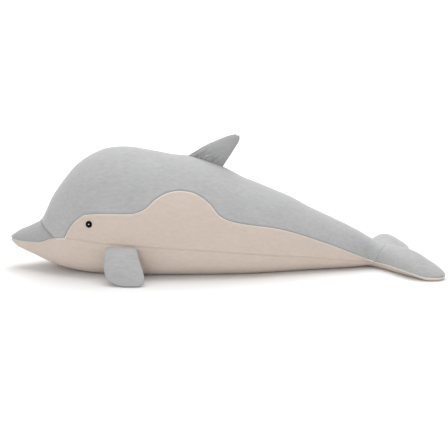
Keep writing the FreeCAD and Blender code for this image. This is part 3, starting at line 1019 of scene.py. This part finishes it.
def build_skins():
    """The body's skin and each fin's skin, filled out by their stuffing."""
    body = body_base()
    fins = {"dorsal_fin": (blade_base("dorsal_fin_skin", DORSAL_ROWS, dorsal_place()), dorsal_place())}
    for name, side in SIDES:
        place = flipper_place(name, side)
        fins["flipper_" + name] = (blade_base("flipper_" + name + "_skin", FLIPPER_ROWS, place), place)
    co = coords(body.data)
    near_seam = np.exp(-(seam_distance(co) / (6 * MM)) ** 2) * 0.6
    on_floor = 1 - smoothstep(1 * MM, 6 * MM, co[:, 2])
    jobs = [(body, 4.0, np.maximum(near_seam, on_floor), 4 * MM)]
    for skin, place in fins.values():
        local = np.array(place.inverted())
        up = coords(skin.data) @ local[2, :3] + local[2, 3]
        jobs.append((skin, 3.0, 1 - smoothstep(2 * MM, 12 * MM, up), 1.6 * MM))
    stuff(jobs)
    shape_beak(body.data)
    shape_flukes(body.data)
    fit_back(body.data)
    return body, fins


def place_body_fillings(body):
    """The body's fibre, cut in two at the tail's hinge."""
    whole = stuffing("body_stuffing", body, BODY_GAP, BODY_VOXEL, 2)
    for name, node, ahead in (("body_stuffing_ahead", "body_filling", True),
                              ("fluke_stuffing", "fluke_filling", False)):
        piece = halve(whole, name, ahead)
        dress(piece, FIBRE)
        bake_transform(piece)
        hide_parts(node)
    discard(whole)


def place_fin(body_name, skin, place, rows, reach, seam_depth, material, slot, sides):
    """A fin's filling and its two panels."""
    filling = stuffing(body_name + "_stuffing", skin, FIN_GAP, FIN_VOXEL, 5)
    dress(filling, FIBRE)
    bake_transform(filling)
    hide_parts(body_name + "_filling")
    names = [body_name + "_" + side for side in sides]
    creased = body_name == "dorsal_fin"
    for name, obj in finish_fin(skin, place, rows, names, seam_depth, creased).items():
        dress(obj, material)
        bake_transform(obj)
        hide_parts(name + "_panel")


def place_fins(fins):
    place_fin("dorsal_fin", *fins["dorsal_fin"], DORSAL_ROWS, (-2 * MM, 17 * MM), 1.0 * MM,
              DARK_GREY, "dark_grey_plush", ("left", "right"))
    for name, _ in SIDES:
        body_name = "flipper_" + name
        place_fin(body_name, *fins[body_name], FLIPPER_ROWS, (0, 18 * MM), 0.9 * MM,
                  GREY, "grey_plush", ("outer", "inner"))


def place_body(pieces):
    """The body's panels. The beak's panels are attached to the torso."""
    for name, obj in pieces.items():
        if name.startswith("beak"):
            dress(obj, DARK_GREY)
            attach(obj, "torso")
        else:
            material, slot = (CREAM, "cream_plush") if is_cream(name) else (GREY, "grey_plush")
            dress(obj, material)
            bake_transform(obj)
        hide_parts(BODY_PANELS[name])


def place_eyes():
    for side_name, side in SIDES:
        make_eye(side_name, side)
        washer = frame["nodes"]["eye_washer_" + side_name]
        washer.data.materials.clear()
        washer.data.materials.append(WHITE)


# ---- camera, light and floor ----

def add_camera():
    """It looks along +Y and a little down, at the dolphin's left side."""
    lens, down = 56.7, 10.4
    data = bpy.data.cameras.new("camera")
    data.lens = lens
    camera = bpy.data.objects.new("camera", data)
    camera.location = (3 * MM, -1316 * MM, 323 * MM)
    camera.rotation_euler = (math.radians(90 - down), 0, 0)
    bpy.context.scene.collection.objects.link(camera)
    bpy.context.scene.camera = camera


def add_area(name, place, aim, size, power):
    """A round lamp that points at aim."""
    data = bpy.data.lights.new(name, "AREA")
    data.shape = "DISK"
    data.size = size
    data.energy = power
    lamp = bpy.data.objects.new(name, data)
    lamp.location = place
    lamp.rotation_euler = (Vector(aim) - Vector(place)).to_track_quat("-Z", "Y").to_euler()
    bpy.context.scene.collection.objects.link(lamp)


def add_floor():
    """A pale floor that rises into a wall far behind. Its bend has a radius of one metre."""
    front, back, wall_height, half_width, steps = -3, 3, 5, 6, 12
    profile = [(front, 0), (back, 0)]
    for step in range(1, steps + 1):
        angle = step / steps * math.pi / 2
        profile.append((back + math.sin(angle), 1 - math.cos(angle)))
    profile.append((back + 1, wall_height))
    verts = [(x, y, z) for y, z in profile for x in (-half_width, half_width)]
    faces = [(2 * i, 2 * i + 1, 2 * i + 3, 2 * i + 2) for i in range(len(profile) - 1)]
    mesh = bpy.data.meshes.new("floor")
    mesh.from_pydata(verts, [], faces)
    shade_smooth(mesh)
    floor = add_object("floor", mesh)
    material, _, shader = node_material("floor")
    shader.inputs["Base Color"].default_value = (0.9, 0.9, 0.9, 1)
    shader.inputs["Roughness"].default_value = 0.9
    floor.data.materials.append(material)


def add_light():
    """An even white sky, a large lamp above, a weaker one in front, and one that whitens the wall."""
    body_middle = (0, 0, 0.1)
    world = bpy.data.worlds.new("world")
    bpy.context.scene.world = world
    world.use_nodes = True
    sky = world.node_tree.nodes["Background"]
    sky.inputs["Color"].default_value = (1, 1, 1, 1)
    sky.inputs["Strength"].default_value = 0.56
    add_area("top", (0.1, 0.35, 2.2), body_middle, 2.6, 40)
    add_area("front", (-0.3, -2.3, 0.9), body_middle, 1.6, 12)
    add_area("wall", (0, 1.5, 2.4), (0, 3.4, 0.9), 2.0, 60)
    bpy.context.scene.view_settings.view_transform = "Standard"


body_skin, fin_skins = build_skins()
place_body_fillings(body_skin)
place_fins(fin_skins)
place_body(finish_body(body_skin))
place_eyes()
add_camera()
add_light()
add_floor()
